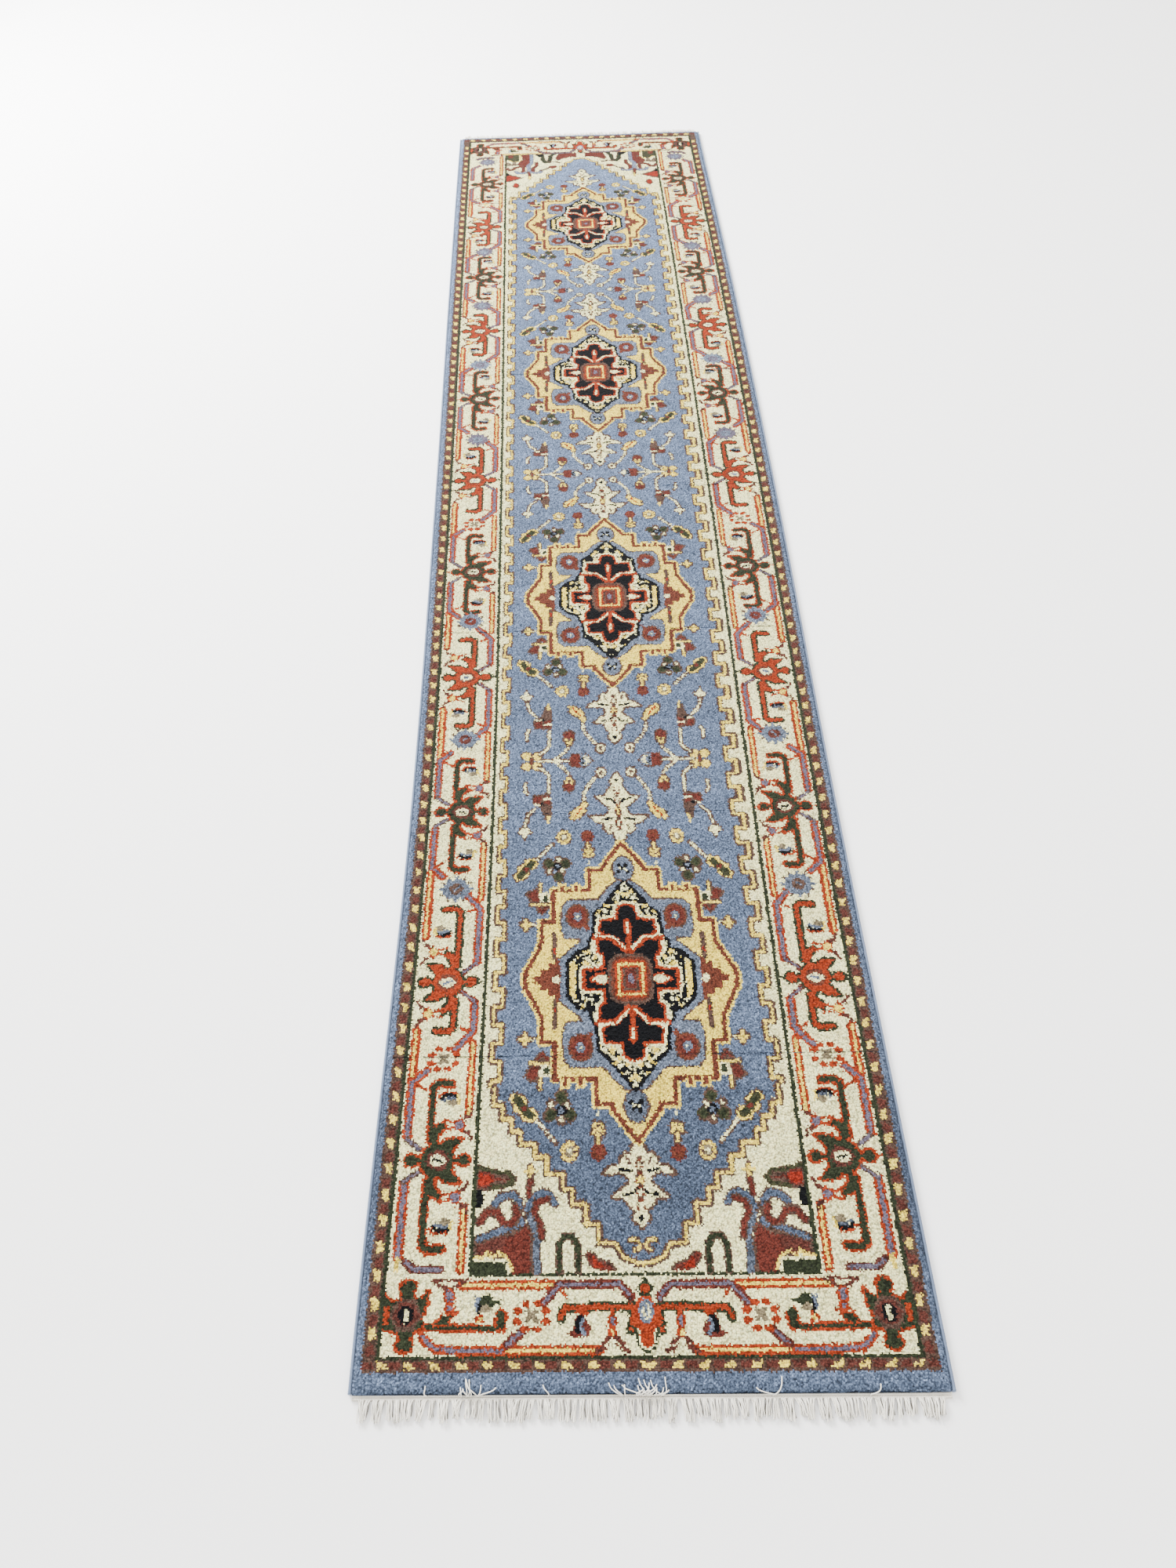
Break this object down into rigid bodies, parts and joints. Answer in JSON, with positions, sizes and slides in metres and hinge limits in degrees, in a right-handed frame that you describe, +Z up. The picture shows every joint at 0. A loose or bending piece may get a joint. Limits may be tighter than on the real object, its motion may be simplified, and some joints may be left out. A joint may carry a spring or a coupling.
{
  "type": "runner rug",
  "caption": "Long narrow hand-knotted wool runner with medallions in a blue field, ivory border, overcast sides and a cotton fringe at each end; folds across the middle.",
  "frame": {"origin": "under the middle of the rug, on the floor it lies on", "axes": "+Z up out of the pile, +Y along the rug towards the far end, +X across it"},
  "size_m": [0.7773, 3.7276, 0.011],
  "materials": {
    "blue_wool": "cut wool pile, denim blue with lighter and darker dye lots",
    "guard_wool": "cut wool pile, rust red blocks on brown with yellow blocks",
    "ivory_wool": "cut wool pile, warm ivory",
    "gold_wool": "cut wool pile, camel gold",
    "ground_cotton": "plain woven undyed cotton",
    "fringe_cotton": "twisted undyed cotton yarn"
  },
  "bodies": {
    "near_half": {"foundation_near": "ground_cotton", "selvedge_wrap_left_near": "blue_wool", "selvedge_core_left_near": "ground_cotton", "selvedge_wrap_right_near": "blue_wool", "selvedge_core_right_near": "ground_cotton", "band_end_near": "blue_wool", "band_left_near": "blue_wool", "band_right_near": "blue_wool", "guard_stripe_end_near": "guard_wool", "guard_stripe_left_near": "guard_wool", "guard_stripe_right_near": "guard_wool", "border_end_near": "ivory_wool", "border_left_near": "ivory_wool", "border_right_near": "ivory_wool", "spandrel_left_near": "ivory_wool", "inner_edge_left_near": "ivory_wool", "field_left_near": "blue_wool", "spandrel_right_near": "ivory_wool", "inner_edge_right_near": "ivory_wool", "field_right_near": "blue_wool", "end_web_near": "fringe_cotton", "twined_row_inner_near": "fringe_cotton", "twined_row_outer_near": "fringe_cotton", "medallion_1": "gold_wool", "medallion_2": "gold_wool"},
    "far_half": {"foundation_far": "ground_cotton", "selvedge_wrap_left_far": "blue_wool", "selvedge_core_left_far": "ground_cotton", "selvedge_wrap_right_far": "blue_wool", "selvedge_core_right_far": "ground_cotton", "band_end_far": "blue_wool", "band_left_far": "blue_wool", "band_right_far": "blue_wool", "guard_stripe_end_far": "guard_wool", "guard_stripe_left_far": "guard_wool", "guard_stripe_right_far": "guard_wool", "border_end_far": "ivory_wool", "border_left_far": "ivory_wool", "border_right_far": "ivory_wool", "spandrel_left_far": "ivory_wool", "inner_edge_left_far": "ivory_wool", "field_left_far": "blue_wool", "spandrel_right_far": "ivory_wool", "inner_edge_right_far": "ivory_wool", "field_right_far": "blue_wool", "end_web_far": "fringe_cotton", "twined_row_inner_far": "fringe_cotton", "twined_row_outer_far": "fringe_cotton", "medallion_3": "gold_wool", "medallion_4": "gold_wool"},
    "fringe_near": {"fringe_near": "fringe_cotton"},
    "fringe_far": {"fringe_far": "fringe_cotton"}
  },
  "joints": [
    {"name": "fold_middle", "type": "hinge", "parent": "near_half", "child": "far_half", "pos_m": [0, 0, 0.0113], "axis": [1, 0, 0], "range_deg": [0, 175]},
    {"name": "fringe_near_lift", "type": "hinge", "parent": "near_half", "child": "fringe_near", "pos_m": [0, -1.837, 0.0046], "axis": [-1, 0, 0], "range_deg": [0, 150]},
    {"name": "fringe_far_lift", "type": "hinge", "parent": "far_half", "child": "fringe_far", "pos_m": [0, 1.837, 0.0046], "axis": [1, 0, 0], "range_deg": [0, 150]}
  ]
}
